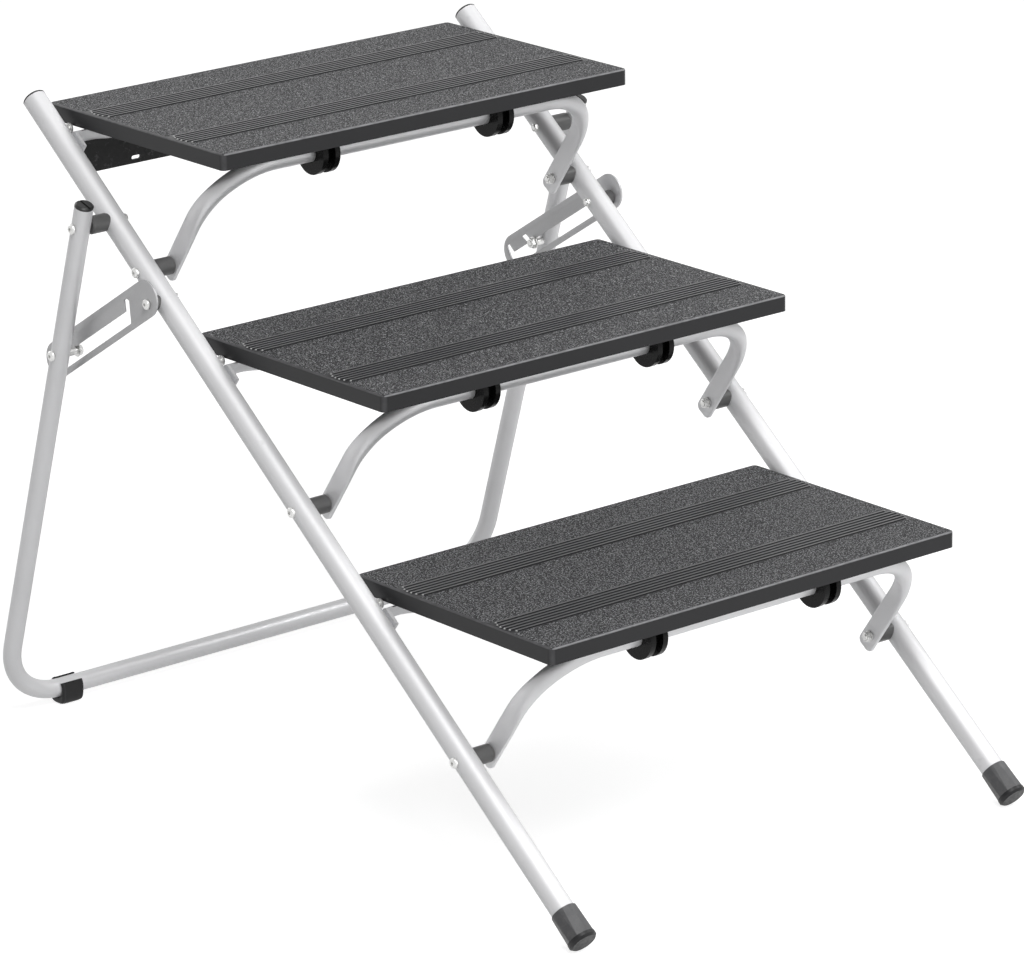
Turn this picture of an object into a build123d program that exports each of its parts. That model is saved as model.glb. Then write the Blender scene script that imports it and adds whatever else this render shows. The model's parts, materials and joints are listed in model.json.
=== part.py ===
from build123d import *
import math
import os

# Folding pet stairs with three plastic treads between two round side rails.
# Sizes are in millimetres. X runs across the stairs, Y from the front to the back, Z up from the floor.
# A place in the side view is given as (run, height): run counts back from the front edge of the lowest
# tread and height counts up from the floor. Pieces are drawn on the right side and mirrored to the left.

# Steps
step_count = 3
step_run = 219.0
step_rise = 171.0
first_step_height = 250.0

# Treads
tread_length = 465.0
tread_depth = 264.0
tread_thickness = 15.0
tread_corner_radius = 5.0
tread_edge_radius = 1.6
tread_side_wall = 3.0
tread_top_wall = 3.0
web_thickness = 1.8
web_depth = 9.0
long_web_count = 5
cross_web_count = 8
strip_inset = 69.0
strip_end_gap = 4.0
grip_rib_count = 6
grip_rib_pitch = 5.5
grip_rib_width = 2.2
grip_rib_height = 0.8
grip_rib_draw_in = 14.0

# Side rails
rail_diameter = 22.0
rail_wall = 1.5
tread_to_rail = 7.3
rail_above_top_bow = 206.6
plug_rim = 2.0
plug_rim_bevel = 0.7
plug_barrel = 14.0
plug_barrel_wall = 1.6

# Rubber boots on the rails' lower ends
boot_diameter = 26.4
boot_mouth_diameter = 24.2
boot_length = 33.0
boot_floor = 4.0
boot_bevel = 2.0
boot_band = 5.0
boot_step = 0.4
boot_facet_count = 8
boot_facet_depth = 0.9
boot_mouth_facet_depth = 0.25

# Folding front bows
bow_tube_diameter = 16.0
bow_wall = 1.2
bow_bend_radius = 65.0
bow_pivot_run = 95.6
bow_pivot_drop = 120.4
bow_bar_run = 26.0
bow_end_width = 19.0
bow_end_reach = 14.5
bow_end_corner = 5.0
bow_end_thickness = 4.5
bow_flat_share = 0.62
bow_flare_share = 0.33

# Rear cross tubes
cross_tube_diameter = 16.0
cross_tube_wall = 1.2
cross_end_width = 17.0
cross_end_thickness = 3.0
cross_tab_length = 13.0
cross_flare_length = 27.0
cross_flange_length = 17.0
cross_bend_radius = 1.2
flange_corner_radius = 4.0

# Rear frame
frame_tube_diameter = 17.5
frame_tube_wall = 1.2
frame_bend_radius = 64.0
frame_spread = 160.0
frame_leg_top = 21.0
frame_pivot_above_bow = 60.0
frame_plug_rim = 3.0
frame_plug_slot = 2.0
frame_foot_length = 24.0
frame_foot_wall = 2.2
frame_foot_pad = 7.0
frame_foot_pad_width = 19.0
frame_foot_corner = 4.0
frame_foot_inset = 72.0
foot_gap_angle = 72.0
foot_gap_middle = 104.0

# Lock plates and lock pins
plate_thickness = 2.0
plate_width = 34.0
plate_beyond_slot = 8.0
plate_pivot_below_bow = 35.0
plate_below_slot = 5.7
slot_width = 12.0
slot_start = 34.5
slot_beyond_pin = 41.4
hook_lean = 6.7
hook_width = 5.0
hook_rise = 9.5
notch_width = 7.5
notch_lean = 5.0
notch_rise = 9.0
lock_pin_reach = 132.8
lock_pin_drop = 0.4
lock_sleeve_diameter = 8.0

# Spacers
pivot_spacer_length = 16.0
pivot_spacer_diameter = 16.5
pivot_spacer_bevel = 1.2
plate_spacer_length = 6.8
plate_spacer_diameter = 14.0

# Bolts, nuts and washers
bolt_diameter = 5.0
bolt_head_diameter = 9.5
bolt_head_height = 3.3
bolt_head_edge = 1.3
bolt_head_crown = 5.0
bolt_tail = 0.8
nut_width = 8.0
nut_height = 4.0
washer_diameter = 10.0
washer_thickness = 1.0
rail_nut_width = 7.0
rail_nut_height = 2.2
rail_washer_diameter = 8.4
rail_washer_thickness = 0.6
lock_nut_width = 9.0
lock_washer_diameter = 12.0
lock_washer_thickness = 0.9

# Bearing clips under the treads
clip_spacing = 200.0
clip_shift = 8.0
clip_width = 19.0
clip_diameter = 40.0
clip_cheek = 5.5
clip_hub_diameter = 26.0
clip_stem_depth = 26.0
socket_wall = 1.6
socket_depth = 9.0

# Rear apron
apron_thickness = 2.6
apron_drop = 39.0
apron_end_gap = 9.0
apron_corner_radius = 9.0
apron_hole_spacing = 326.0
apron_hole_length = 10.5
apron_hole_height = 3.8
apron_hole_rise = 5.5
apron_grip_top = 40.0
apron_grip_front = 235.0
apron_grip_count = 4
apron_grip_length = 28.0

# Clearances
seat_gap = 0.3
running_gap = 0.2
fit_gap = 0.15
cut_margin = 30.0

# Lines and places worked out from the sizes above
rail_angle = math.degrees(math.atan2(step_rise, step_run))
rail_cos = math.cos(math.radians(rail_angle))
rail_sin = math.sin(math.radians(rail_angle))
step_pitch = math.hypot(step_run, step_rise)
top_bow_distance = (step_count - 1) * step_pitch

rail_radius = rail_diameter / 2
rail_x = tread_length / 2 + tread_to_rail + rail_radius
rail_inner_x = rail_x - rail_radius
rail_outer_x = rail_x + rail_radius
bow_radius = bow_tube_diameter / 2
cross_radius = cross_tube_diameter / 2
frame_radius = frame_tube_diameter / 2
bolt_radius = bolt_diameter / 2
hole_radius = bolt_radius + running_gap

bow_bar_drop = tread_thickness + seat_gap + bow_radius
cross_tube_drop = tread_thickness + seat_gap + cross_radius
cross_distance = (bow_pivot_drop - cross_tube_drop) / rail_sin
bow_end_x = rail_inner_x - pivot_spacer_length - running_gap
bow_leg_x = bow_end_x - bow_end_thickness / 2
bow_direction = math.atan2(bow_pivot_drop - bow_bar_drop, bow_bar_run - bow_pivot_run)
bow_length = math.hypot(bow_pivot_drop - bow_bar_drop, bow_bar_run - bow_pivot_run)
bow_straight_leg = bow_length - bow_bend_radius
bow_flat_reach = bow_flat_share * bow_straight_leg
bow_flare_length = bow_flare_share * bow_straight_leg

frame_leg_inner_x = rail_outer_x + pivot_spacer_length + running_gap
frame_leg_x = frame_leg_inner_x + frame_radius
plate_inner_x = rail_outer_x + plate_spacer_length + running_gap
plate_outer_x = plate_inner_x + plate_thickness


def rail_point(distance):
    """Run and height of the point this far up the rails' centre line from the lowest bow pivot."""
    run = bow_pivot_run + distance * rail_cos
    height = first_step_height - bow_pivot_drop + distance * rail_sin
    return run, height


frame_pivot = rail_point(top_bow_distance + frame_pivot_above_bow)
plate_pivot = rail_point(top_bow_distance - plate_pivot_below_bow)
frame_bar_height = frame_radius + frame_foot_pad
frame_lean = math.atan2(frame_spread, frame_pivot[1] - frame_bar_height)
frame_leg_length = math.hypot(frame_spread, frame_pivot[1] - frame_bar_height)


def leg_point(distance):
    """Run and height of the point this far down the rear legs' centre line from their pivot."""
    run = frame_pivot[0] + distance * math.sin(frame_lean)
    height = frame_pivot[1] - distance * math.cos(frame_lean)
    return run, height


lock_pin = leg_point(lock_pin_reach)
pin_above_slot_middle = slot_width / 2 - bolt_radius - lock_pin_drop
pin_distance = math.hypot(lock_pin[0] - plate_pivot[0], lock_pin[1] - plate_pivot[1])
pin_direction = math.atan2(lock_pin[1] - plate_pivot[1], lock_pin[0] - plate_pivot[0])
slot_direction = pin_direction - math.asin(pin_above_slot_middle / pin_distance)
pin_along_slot = pin_distance * math.cos(pin_direction - slot_direction)
slot_reach = pin_along_slot + slot_beyond_pin
plate_reach = slot_reach + plate_beyond_slot


def on_side(x, place):
    """Plane facing outwards on the right side, with its own X along the run and its own Y up."""
    return Plane(origin=(x, place[0], place[1]), x_dir=(0, 1, 0), z_dir=(1, 0, 0))


def along_rail(distance):
    """Plane square to the right rail at this distance, facing up the rail."""
    run, height = rail_point(distance)
    return Plane(origin=(rail_x, run, height), x_dir=(1, 0, 0), z_dir=(0, rail_cos, rail_sin))


def pin(radius, x_from, x_to, place):
    """Plain round bar along X between two values of x."""
    return on_side(x_from, place) * extrude(Circle(radius), x_to - x_from)


def turned(*outline):
    """Solid of revolution about Z from an outline of (radius, height) points."""
    return revolve(Plane.XZ * make_face(Polyline(*outline, close=True)), Axis.Z)


def both_sides(shape):
    """The right-hand shape and its mirror image on the left."""
    return Compound(children=[mirror(shape, about=Plane.YZ), shape])


def group(shapes):
    """Separate solids kept together as one node."""
    solids = []
    for shape in shapes:
        solids.extend(shape.solids())
    return Compound(children=solids)


def domed_head():
    """Screw head with a short straight edge and a sloping crown, standing on the plane Z = 0."""
    head_radius = bolt_head_diameter / 2
    return turned(
        (0, 0),
        (head_radius, 0),
        (head_radius, bolt_head_edge),
        (bolt_head_crown / 2, bolt_head_height),
        (0, bolt_head_height),
    )


def bolt(x_head, x_tail, place):
    """Bolt along X: a domed head from x_head outwards and a plain shank inwards to x_tail."""
    shank = pin(bolt_radius, x_tail, x_head, place)
    return on_side(x_head, place) * domed_head() + shank


def hex_nut(width, x_outer, x_inner, place):
    """Hexagon nut with its bore, between two values of x."""
    corner_radius = width / math.sqrt(3)
    outline = RegularPolygon(corner_radius, 6) - Circle(bolt_radius + fit_gap)
    return on_side(x_inner, place) * extrude(outline, x_outer - x_inner)


def washer(diameter, x_outer, x_inner, place):
    """Flat ring with its bore, between two values of x."""
    outline = Circle(diameter / 2) - Circle(bolt_radius + fit_gap)
    return on_side(x_inner, place) * extrude(outline, x_outer - x_inner)


# Side rails with their boots and plugs
boot_radius = boot_diameter / 2
boot_bottom_height = boot_radius * rail_cos - boot_bevel * rail_sin
boot_distance = (boot_bottom_height - first_step_height + bow_pivot_drop) / rail_sin
rail_start = boot_distance + boot_floor
rail_end = top_bow_distance + rail_above_top_bow
bow_pivots = [rail_point(step * step_pitch) for step in range(step_count)]
cross_places = [rail_point(step * step_pitch + cross_distance) for step in range(step_count)]
screw_offset = cross_end_thickness / 2 + cross_flange_length / 2
screw_places = [
    rail_point(step * step_pitch + cross_distance + screw_offset) for step in range(step_count)
]


def make_rail():
    """Straight round tube with the cross holes for its bolts."""
    section = Circle(rail_radius) - Circle(rail_radius - rail_wall)
    tube = along_rail(rail_start) * extrude(section, rail_end - rail_start)
    for place in bow_pivots + [frame_pivot, plate_pivot]:
        tube -= pin(hole_radius, rail_inner_x - rail_wall, rail_outer_x + rail_wall, place)
    for place in screw_places:
        tube -= pin(hole_radius, rail_inner_x - rail_wall, rail_x, place)
    return tube


def make_boot():
    """Closed rubber boot: a bevelled foot band, and a side with flat facets that narrows to its mouth."""
    side_radius = boot_radius - boot_step
    mouth_radius = boot_mouth_diameter / 2
    outer = turned(
        (0, 0),
        (boot_radius - boot_bevel, 0),
        (boot_radius, boot_bevel),
        (boot_radius, boot_band),
        (side_radius, boot_band + boot_step),
        (mouth_radius, boot_length),
        (0, boot_length),
    )
    facet_reach = math.cos(math.pi / boot_facet_count)
    foot_facets = RegularPolygon((side_radius - boot_facet_depth) / facet_reach, boot_facet_count)
    mouth_facets = RegularPolygon((mouth_radius - boot_mouth_facet_depth) / facet_reach, boot_facet_count)
    facets = loft([Pos(0, 0, boot_band) * foot_facets, Pos(0, 0, boot_length) * mouth_facets])
    band = Pos(0, 0, -boot_band) * extrude(Circle(boot_diameter), boot_band + boot_band)
    body = outer & (facets + band)
    bore = Pos(0, 0, boot_floor) * extrude(Circle(rail_radius + fit_gap), boot_length)
    return along_rail(boot_distance) * (body - bore)


def make_rail_plug():
    """Cap on the rail's upper end with a hollow barrel that grips inside the tube."""
    barrel_radius = rail_radius - rail_wall - fit_gap
    core_radius = barrel_radius - plug_barrel_wall
    cap = turned(
        (0, plug_rim),
        (rail_radius - plug_rim_bevel, plug_rim),
        (rail_radius, plug_rim - plug_rim_bevel),
        (rail_radius, 0),
        (barrel_radius, 0),
        (barrel_radius, -plug_barrel),
        (core_radius, -plug_barrel),
        (core_radius, 0),
        (0, 0),
    )
    return along_rail(rail_end) * cap


# Rear cross tubes
def make_cross_tube(step):
    """Tube along X whose ends are pressed flat and bent up against the rails' inner faces."""
    run, height = cross_places[step]
    flange_x = rail_inner_x - running_gap
    tab_x = flange_x - cross_tab_length
    round_x = tab_x - cross_flare_length
    middle = Plane(origin=(0, run, height), x_dir=(0, rail_cos, rail_sin), z_dir=(1, 0, 0))
    section = Circle(cross_radius) - Circle(cross_radius - cross_tube_wall)
    tube = middle.offset(-round_x) * extrude(section, 2 * round_x)
    round_end = middle.offset(round_x) * Circle(cross_radius)
    flat_end = middle.offset(tab_x) * Rectangle(cross_end_thickness, cross_end_width)
    flare = loft([round_end, flat_end])
    # The bent end is drawn in the plane of the rail and the X axis, with its width across the rail.
    half = cross_end_thickness / 2
    bent_face = Plane(
        origin=(0, run, height), x_dir=(1, 0, 0), z_dir=(0, rail_sin, -rail_cos)
    ).offset(-cross_end_width / 2)
    outline = Polyline(
        (tab_x, -half),
        (flange_x, -half),
        (flange_x, half + cross_flange_length),
        (flange_x - cross_end_thickness, half + cross_flange_length),
        (flange_x - cross_end_thickness, half),
        (tab_x, half),
        close=True,
    )
    bent = bent_face * extrude(make_face(outline), cross_end_width)
    heel = bent.edges().filter_by(lambda edge: abs(edge.center().X - flange_x) < fit_gap)
    rail_up = Vector(0, rail_cos, rail_sin)
    heel = heel.sort_by(lambda edge: edge.center().dot(rail_up))[:1]
    bent = fillet(heel, cross_bend_radius + half)
    top_corners = bent.edges().filter_by(Axis.X).group_by(lambda edge: edge.center().dot(rail_up))[-1]
    bent = fillet(top_corners, flange_corner_radius)
    bent -= pin(hole_radius, rail_inner_x - cut_margin, rail_inner_x, screw_places[step])
    end = flare + bent
    return tube + end + mirror(end, about=Plane.YZ)


# Folding front bows
def bow_plane(step):
    """Plane of a bow: its own X across the stairs and its own Y from the pivots to the bar."""
    run, height = bow_pivots[step]
    facing = (0, -math.sin(bow_direction), math.cos(bow_direction))
    return Plane(origin=(0, run, height), x_dir=(1, 0, 0), z_dir=facing)


def make_bow(step):
    """Bent tube with pressed flat ends that turn on the pivot bolts."""
    plane = bow_plane(step)
    round_start = bow_flat_reach + bow_flare_length
    path = plane * FilletPolyline(
        (-bow_leg_x, round_start),
        (-bow_leg_x, bow_length),
        (bow_leg_x, bow_length),
        (bow_leg_x, round_start),
        radius=bow_bend_radius,
    )
    section = Circle(bow_radius) - Circle(bow_radius - bow_wall)
    tube = sweep(Plane(origin=path @ 0, z_dir=path % 0) * section, path=path)
    leg_direction = (0, math.cos(bow_direction), math.sin(bow_direction))
    leg = Plane(origin=plane.from_local_coords((bow_leg_x, 0, 0)), x_dir=(1, 0, 0), z_dir=leg_direction)
    round_end = leg.offset(round_start) * Circle(bow_radius)
    flat_end = leg.offset(bow_flat_reach) * Rectangle(bow_end_thickness, bow_end_width)
    flare = loft([flat_end, round_end])
    tongue = on_side(bow_leg_x - bow_end_thickness / 2, bow_pivots[step])
    tongue = tongue * Rot(0, 0, math.degrees(bow_direction))
    tongue_length = bow_end_reach + bow_flat_reach
    outline = Pos(bow_flat_reach - tongue_length / 2, 0) * Rectangle(tongue_length, bow_end_width)
    end_corners = outline.vertices().group_by(Axis.X)[0]
    outline = fillet(end_corners, bow_end_corner)
    tongue_solid = tongue * extrude(outline, bow_end_thickness)
    end = flare + tongue_solid
    end -= pin(hole_radius, bow_leg_x - cut_margin, bow_leg_x + cut_margin, bow_pivots[step])
    return tube + end + mirror(end, about=Plane.YZ)


# Treads
def tread_place(step):
    """Moves a piece drawn from the front top edge of a tread to that step."""
    return Pos(0, step * step_run, first_step_height + step * step_rise)


clip_places = [-clip_spacing / 2 - clip_shift, clip_spacing / 2 - clip_shift]
deck_underside = -tread_top_wall
clip_top = bow_bar_drop - tread_top_wall


def make_tread(step):
    """Moulded tread: rounded deck, skirt, crossed webs underneath, clip sockets and grip ribs on top."""
    inner_length = tread_length - 2 * tread_side_wall
    inner_depth = tread_depth - 2 * tread_side_wall
    inner_radius = tread_corner_radius - tread_side_wall
    cavity_depth = tread_thickness - tread_top_wall
    middle = Pos(0, tread_depth / 2, 0)
    body = middle * extrude(RectangleRounded(tread_length, tread_depth, tread_corner_radius), -tread_thickness)
    top_rim = body.faces().sort_by(Axis.Z)[-1].edges()
    body = fillet(top_rim, tread_edge_radius)
    cavity = Pos(0, tread_depth / 2, deck_underside) * extrude(
        RectangleRounded(inner_length, inner_depth, inner_radius), -cavity_depth
    )
    body -= cavity
    webs = None
    for index in range(long_web_count):
        place = tread_side_wall + inner_depth * (index + 1) / (long_web_count + 1)
        web = Pos(0, place, deck_underside - web_depth / 2) * Box(inner_length, web_thickness, web_depth)
        webs = web if webs is None else webs + web
    for index in range(cross_web_count):
        place = inner_length * ((index + 1) / (cross_web_count + 1) - 1 / 2)
        web = Pos(place, tread_depth / 2, deck_underside - web_depth / 2) * Box(
            web_thickness, inner_depth, web_depth
        )
        webs += web
    pocket_width = clip_width + 2 * fit_gap
    pocket_depth = clip_diameter + 2 * fit_gap
    for x in clip_places:
        at_clip = Pos(x, bow_bar_run, deck_underside - socket_depth / 2)
        socket = Box(pocket_width + 2 * socket_wall, pocket_depth + 2 * socket_wall, socket_depth)
        webs += at_clip * socket
        webs -= at_clip * Box(pocket_width, pocket_depth, cut_margin)
    body += webs
    half_count = (grip_rib_count - 1) / 2
    for strip_run in (strip_inset, tread_depth - strip_inset):
        for index in range(grip_rib_count):
            offset = index - half_count
            share = offset / (half_count + 1)
            drawn_in = grip_rib_draw_in * (1 - math.sqrt(1 - share * share))
            length = tread_length - 2 * (strip_end_gap + drawn_in)
            place = Pos(0, strip_run + offset * grip_rib_pitch, 0)
            body += place * extrude(Rectangle(length, grip_rib_width), grip_rib_height)
    return tread_place(step) * body


def make_clip(x, step):
    """Bearing clip: two round cheeks on a hub bored for the bow's bar, and a stem up to the deck."""
    bar = Plane(origin=(x, bow_bar_run, -bow_bar_drop), x_dir=(0, 1, 0), z_dir=(1, 0, 0))
    hub = bar.offset(-clip_width / 2) * extrude(Circle(clip_hub_diameter / 2), clip_width)
    cheek = extrude(Circle(clip_diameter / 2), clip_cheek)
    body = hub + bar.offset(-clip_width / 2) * cheek + bar.offset(clip_width / 2 - clip_cheek) * cheek
    stem = Pos(x, bow_bar_run, -bow_bar_drop + clip_top / 2) * Box(clip_width, clip_stem_depth, clip_top)
    body += stem
    bore = bar.offset(-clip_width) * extrude(Circle(bow_radius + seat_gap), 2 * clip_width)
    return tread_place(step) * (body - bore)


# Rear frame
def make_rear_frame():
    """One bent tube: a leg down each side and a bar across the bottom."""
    facing = (0, -math.cos(frame_lean), -math.sin(frame_lean))
    plane = Plane(origin=(0, frame_pivot[0], frame_pivot[1]), x_dir=(1, 0, 0), z_dir=facing)
    path = plane * FilletPolyline(
        (-frame_leg_x, frame_leg_top),
        (-frame_leg_x, -frame_leg_length),
        (frame_leg_x, -frame_leg_length),
        (frame_leg_x, frame_leg_top),
        radius=frame_bend_radius,
    )
    section = Circle(frame_radius) - Circle(frame_radius - frame_tube_wall)
    tube = sweep(Plane(origin=path @ 0, z_dir=path % 0) * section, path=path)
    for place in (frame_pivot, lock_pin):
        hole = pin(hole_radius, frame_leg_x - cut_margin, frame_leg_x + cut_margin, place)
        tube -= hole
        tube -= mirror(hole, about=Plane.YZ)
    return tube


def make_frame_plug():
    """Slotted cap on the top of a rear leg with a barrel inside the tube."""
    top = leg_point(-frame_leg_top)
    up = (0, -math.sin(frame_lean), math.cos(frame_lean))
    barrel_radius = frame_radius - frame_tube_wall - fit_gap
    cap = turned(
        (0, frame_plug_rim),
        (frame_radius - frame_plug_rim / 2, frame_plug_rim),
        (frame_radius, frame_plug_rim / 2),
        (frame_radius, 0),
        (barrel_radius, 0),
        (barrel_radius, -plug_barrel),
        (0, -plug_barrel),
    )
    slot = Pos(0, 0, frame_plug_rim) * Box(frame_plug_slot, frame_tube_diameter, frame_plug_rim)
    return Plane(origin=(frame_leg_x, top[0], top[1]), x_dir=(1, 0, 0), z_dir=up) * (cap - slot)


def make_frame_foot():
    """Rubber saddle that snaps round the bottom bar, open at the upper front, with a rounded sole."""
    x_start = frame_leg_x - frame_foot_inset - frame_foot_length / 2
    ring = Circle(frame_radius + frame_foot_wall)
    pad = Pos(0, -frame_bar_height / 2) * Rectangle(frame_foot_pad_width, frame_bar_height)
    pad = fillet(pad.vertices().group_by(Axis.Y)[0], frame_foot_corner)
    outline = ring + pad
    outline -= Circle(frame_radius + fit_gap)
    below = Pos(0, -frame_bar_height - cut_margin / 2) * Rectangle(cut_margin + cut_margin, cut_margin)
    outline -= below
    reach = cut_margin
    gap_from = math.radians(foot_gap_middle - foot_gap_angle / 2)
    gap_to = math.radians(foot_gap_middle + foot_gap_angle / 2)
    wedge = Polyline(
        (0, 0),
        (reach * math.cos(gap_from), reach * math.sin(gap_from)),
        (reach * math.cos(gap_to), reach * math.sin(gap_to)),
        close=True,
    )
    outline -= make_face(wedge)
    bar = leg_point(frame_leg_length)
    foot = on_side(x_start, bar) * extrude(outline, frame_foot_length)
    sole_ends = foot.edges().filter_by(Axis.Y).group_by(Axis.Z)[0]
    return fillet(sole_ends, frame_foot_corner)


# Lock plates and lock pins
def make_lock_plate():
    """Flat link with a long slot for the lock pin and three hooks that the pin drops into."""
    slot_low = -slot_width / 2
    slot_high = slot_width / 2
    plate_low = slot_low - plate_below_slot
    end_radius = plate_width / 2
    middle = plate_low + end_radius
    far_middle = plate_reach - end_radius
    outline = Pos(far_middle / 2, middle) * Rectangle(far_middle, plate_width)
    outline += Pos(0, middle) * Circle(end_radius)
    outline += Pos(far_middle, middle) * Circle(end_radius)
    notch_start = pin_along_slot + bolt_radius
    far_hook_start = slot_reach - notch_width
    slot = Polyline(
        (slot_start, slot_low),
        (slot_start - hook_lean - hook_width / 2, slot_high + hook_rise * 2 / 3),
        (slot_start - hook_lean, slot_high + hook_rise),
        (slot_start - hook_lean + hook_width, slot_high + hook_rise),
        (slot_start + hook_width / 2, slot_high),
        (notch_start, slot_high),
        (notch_start + notch_lean, slot_high + notch_rise),
        (notch_start + notch_lean + notch_width, slot_high + notch_rise),
        (notch_start + notch_width, slot_high),
        (far_hook_start, slot_high),
        (far_hook_start + notch_lean / 2, slot_high + notch_rise),
        (slot_reach, slot_high + notch_rise),
        (slot_reach, slot_low + plate_below_slot),
        (slot_reach - plate_below_slot, slot_low),
        close=True,
    )
    outline -= make_face(slot)
    outline -= Circle(hole_radius)
    plane = on_side(plate_inner_x, plate_pivot) * Rot(0, 0, math.degrees(slot_direction))
    return plane * extrude(outline, plate_thickness)


lock_tail_x = plate_outer_x + seat_gap
lock_head_x = frame_leg_x + frame_radius
lock_washer_x = plate_inner_x - lock_washer_thickness
lock_nut_x = lock_washer_x - nut_height


def make_lock_bolt():
    """Bolt through a rear leg; its end stops just short of the lock plate."""
    return bolt(lock_head_x, lock_tail_x, lock_pin)


def make_lock_sleeve():
    """Bright sleeve on the lock bolt between the leg and the lock plate."""
    ring = Circle(lock_sleeve_diameter / 2) - Circle(bolt_radius + fit_gap)
    sleeve = on_side(lock_tail_x, lock_pin) * extrude(ring, frame_leg_x - lock_tail_x)
    leg_axis = (0, math.sin(frame_lean), -math.cos(frame_lean))
    leg = Plane(origin=(frame_leg_x, lock_pin[0], lock_pin[1]), z_dir=leg_axis)
    leg_bar = leg.offset(-cut_margin) * extrude(Circle(frame_radius + fit_gap), cut_margin + cut_margin)
    return sleeve - leg_bar


def make_lock_nut():
    """Hexagon nut on the inner side of the lock plate, with the stub that runs in its slot."""
    stub = pin(bolt_radius, lock_nut_x - bolt_tail / 2, plate_outer_x, lock_pin)
    corner_radius = lock_nut_width / math.sqrt(3)
    nut = on_side(lock_nut_x, lock_pin) * extrude(RegularPolygon(corner_radius, 6), nut_height)
    return nut + stub


def make_lock_washer():
    """Flat washer between the lock nut and the plate."""
    return washer(lock_washer_diameter, plate_inner_x, lock_washer_x, lock_pin)


# Pivot hardware
def make_pivot_spacer(x_rail, x_free, diameter, place):
    """Black spacer on a pivot bolt: hollowed to sit on the round rail, flat at the moving end."""
    toward_rail = math.copysign(1, x_rail - x_free)
    length = abs(x_rail - x_free)
    overlap = rail_radius
    bevel = min(pivot_spacer_bevel, length / 4)
    outline = turned(
        (hole_radius, 0),
        (diameter / 2 - bevel, 0),
        (diameter / 2, bevel),
        (diameter / 2, length + overlap),
        (hole_radius, length + overlap),
    )
    plane = Plane(origin=(x_free, place[0], place[1]), x_dir=(0, 1, 0), z_dir=(toward_rail, 0, 0))
    spacer = plane * outline
    rail_bar = along_rail(rail_start) * extrude(Circle(rail_radius + fit_gap), rail_end - rail_start)
    spacer -= rail_bar
    far_side = spacer.solids().sort_by(lambda solid: abs(solid.center().X - x_free))
    return far_side[0]


bow_nut_x = bow_end_x - bow_end_thickness - running_gap - washer_thickness
bow_bolt_tail_x = bow_nut_x - nut_height - bolt_tail
rail_nut_x = rail_inner_x - rail_washer_thickness
rail_nut_end_x = rail_nut_x - rail_nut_height
rail_bolt_tail_x = rail_nut_end_x - bolt_tail / 2


def make_bow_pivot(place):
    """Bolt, washer, nut and spacer of one bow pivot."""
    return {
        "bow_pivot_bolts": bolt(rail_outer_x, bow_bolt_tail_x, place),
        "bow_pivot_washers": washer(washer_diameter, bow_nut_x + washer_thickness, bow_nut_x, place),
        "bow_pivot_nuts": hex_nut(nut_width, bow_nut_x, bow_nut_x - nut_height, place),
        "bow_pivot_spacers": make_pivot_spacer(
            rail_inner_x, bow_end_x + running_gap, pivot_spacer_diameter, place
        ),
    }


def make_frame_pivot():
    """Bolt, washer, nut and spacer that carry a rear leg on its rail."""
    leg_face_x = frame_leg_x + frame_radius + running_gap
    return {
        "frame_pivot_bolts": bolt(leg_face_x, rail_bolt_tail_x, frame_pivot),
        "frame_pivot_washers": washer(rail_washer_diameter, rail_inner_x, rail_nut_x, frame_pivot),
        "frame_pivot_nuts": hex_nut(rail_nut_width, rail_nut_x, rail_nut_end_x, frame_pivot),
        "frame_pivot_spacers": make_pivot_spacer(
            rail_outer_x, frame_leg_inner_x - running_gap, pivot_spacer_diameter, frame_pivot
        ),
    }


def make_plate_pivot():
    """Bolt, washer, nut and spacer that carry a lock plate on its rail."""
    plate_face_x = plate_outer_x + running_gap
    return {
        "plate_pivot_bolts": bolt(plate_face_x, rail_bolt_tail_x, plate_pivot),
        "plate_pivot_washers": washer(rail_washer_diameter, rail_inner_x, rail_nut_x, plate_pivot),
        "plate_pivot_nuts": hex_nut(rail_nut_width, rail_nut_x, rail_nut_end_x, plate_pivot),
        "plate_pivot_spacers": make_pivot_spacer(
            rail_outer_x, plate_inner_x - running_gap, plate_spacer_diameter, plate_pivot
        ),
    }


def make_cross_screw(place):
    """Domed screw through a cross tube's flange into the rail's inner wall, its head inside."""
    head_x = rail_inner_x - running_gap - cross_end_thickness
    plane = Plane(origin=(head_x, place[0], place[1]), x_dir=(0, 1, 0), z_dir=(-1, 0, 0))
    return plane * domed_head() + pin(bolt_radius, head_x, rail_inner_x + rail_wall + nut_height, place)


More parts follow.
